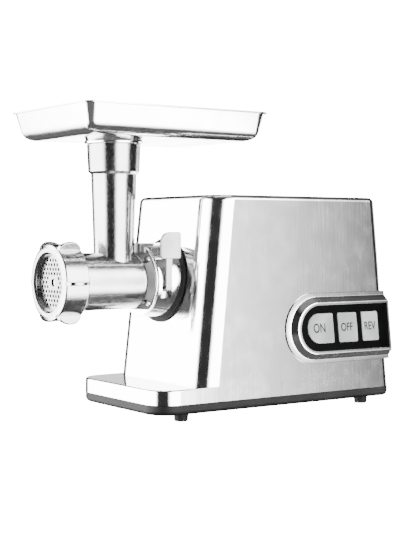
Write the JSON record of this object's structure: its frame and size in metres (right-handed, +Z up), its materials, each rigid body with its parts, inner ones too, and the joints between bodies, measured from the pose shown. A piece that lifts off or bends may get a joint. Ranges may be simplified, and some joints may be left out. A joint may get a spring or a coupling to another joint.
{
  "type": "electric meat grinder",
  "caption": "Countertop electric meat grinder: geared motor in a steel housing, plug-in grinding head with feed screw, knife, plate and ring nut, a lift-off tray and push buttons.",
  "frame": {"origin": "middle of the whole object's box, on the surface that the feet stand on", "axes": "+Z up, -Y the way the grinding head points, +X the side with the buttons"},
  "size_m": [0.1816, 0.4092, 0.331],
  "materials": {
    "brushed_steel_sheet": "brushed stainless sheet",
    "polished_steel": "polished stainless",
    "cast_aluminium": "satin cast and tumbled",
    "chrome_plate": "bright plated",
    "bright_steel": "machined",
    "black_plastic": "matt moulded",
    "gloss_black": "gloss",
    "rubber": "matt",
    "silver_plastic": "satin silver paint",
    "nylon": "natural nylon",
    "copper_wire": "enamelled copper",
    "bronze": "sintered bronze",
    "circuit_board": "solder mask"
  },
  "bodies": {
    "base": {"housing_shell": "brushed_steel_sheet", "base_pan": "black_plastic", "rear_grille": "black_plastic", "mains_inlet": "rubber", "foot_front_right": "rubber", "foot_front_left": "rubber", "foot_rear_right": "rubber", "foot_rear_left": "rubber", "foot_screw_front_right": "bright_steel", "foot_screw_front_left": "bright_steel", "foot_screw_rear_right": "bright_steel", "foot_screw_rear_left": "bright_steel", "outlet_collar": "chrome_plate", "collar_gasket": "rubber", "lever_pin": "bright_steel", "lever_spring": "bright_steel", "gear_case": "nylon", "gear_cover": "nylon", "output_bearing": "bronze", "shaft_seal": "rubber", "second_gear_pin": "bright_steel", "first_gear_pin": "bright_steel", "motor_stator": "bright_steel", "field_coil_upper": "copper_wire", "field_coil_lower": "copper_wire", "brush_holder_right": "bronze", "brush_holder_left": "bronze", "motor_bracket": "bright_steel", "motor_cradle": "black_plastic", "panel_bezel": "chrome_plate", "panel_face": "gloss_black", "control_board": "circuit_board"},
    "lever": {"release_lever": "chrome_plate"},
    "head": {"head_casting": "cast_aluminium", "flange_ring": "polished_steel", "flange_screw_1": "bright_steel", "flange_screw_2": "bright_steel", "flange_screw_3": "bright_steel", "flange_screw_4": "bright_steel", "rear_bush": "bronze", "cutting_plate": "polished_steel"},
    "nut": {"ring_nut": "cast_aluminium"},
    "tray": {"food_tray": "polished_steel"},
    "screw": {"feed_screw": "cast_aluminium", "thrust_washer": "nylon", "knife_stud": "bright_steel", "cross_knife": "bright_steel", "drive_shank": "bright_steel"},
    "output": {"output_shaft": "bright_steel", "output_gear": "bright_steel"},
    "second": {"second_gear": "nylon"},
    "first": {"first_gear": "nylon"},
    "rotor": {"motor_rotor": "bright_steel", "motor_pinion": "bright_steel", "motor_fan": "nylon", "commutator": "copper_wire"},
    "on": {"on_button": "silver_plastic"},
    "off": {"off_button": "silver_plastic"},
    "reverse": {"reverse_button": "silver_plastic"}
  },
  "joints": [
    {"name": "lever_swing", "type": "hinge", "parent": "base", "child": "lever", "pos_m": [0.03292, -0.07885, 0.1396], "axis": [0, 1, 0], "range_deg": [0, 25], "stiffness_Nm_per_rad": 0.4},
    {"name": "head_slide", "type": "slide", "parent": "base", "child": "head", "axis": [0, -1, 0], "range_m": [0, 0.045]},
    {"name": "nut_turn", "type": "hinge", "parent": "head", "child": "nut", "pos_m": [-0.00358, -0.18635, 0.148], "axis": [0, -1, 0], "range_deg": [0, 540]},
    {"name": "tray_lift", "type": "slide", "parent": "head", "child": "tray", "axis": [0, 0, 1], "range_m": [0, 0.03]},
    {"name": "screw_spin", "type": "hinge", "parent": "head", "child": "screw", "pos_m": [-0.00358, -0.12735, 0.148], "axis": [0, 1, 0], "continuous": true},
    {"name": "output_spin", "type": "hinge", "parent": "base", "child": "output", "pos_m": [-0.00358, -0.03935, 0.148], "axis": [0, 1, 0], "continuous": true},
    {"name": "second_spin", "type": "hinge", "parent": "base", "child": "second", "pos_m": [-0.02888, -0.03235, 0.10418], "axis": [0, 1, 0], "continuous": true},
    {"name": "first_spin", "type": "hinge", "parent": "base", "child": "first", "pos_m": [-0.03337, -0.02435, 0.06765], "axis": [0, 1, 0], "continuous": true},
    {"name": "motor_spin", "type": "hinge", "parent": "base", "child": "rotor", "pos_m": [-0.00611, 0.04265, 0.07867], "axis": [0, 1, 0], "continuous": true},
    {"name": "on_press", "type": "slide", "parent": "base", "child": "on", "axis": [-0.9999, 0, -0.0114], "range_m": [0, 0.0022], "stiffness_N_per_m": 800},
    {"name": "off_press", "type": "slide", "parent": "base", "child": "off", "axis": [-0.9999, 0, -0.0114], "range_m": [0, 0.0022], "stiffness_N_per_m": 800},
    {"name": "reverse_press", "type": "slide", "parent": "base", "child": "reverse", "axis": [-0.9999, 0, -0.0114], "range_m": [0, 0.0022], "stiffness_N_per_m": 800}
  ],
  "couplings": [
    {"joint": "screw_spin", "follows": "output_spin", "ratio": 1},
    {"joint": "second_spin", "follows": "output_spin", "ratio": -3.6},
    {"joint": "first_spin", "follows": "output_spin", "ratio": 12.96},
    {"joint": "motor_spin", "follows": "output_spin", "ratio": -57.6}
  ]
}
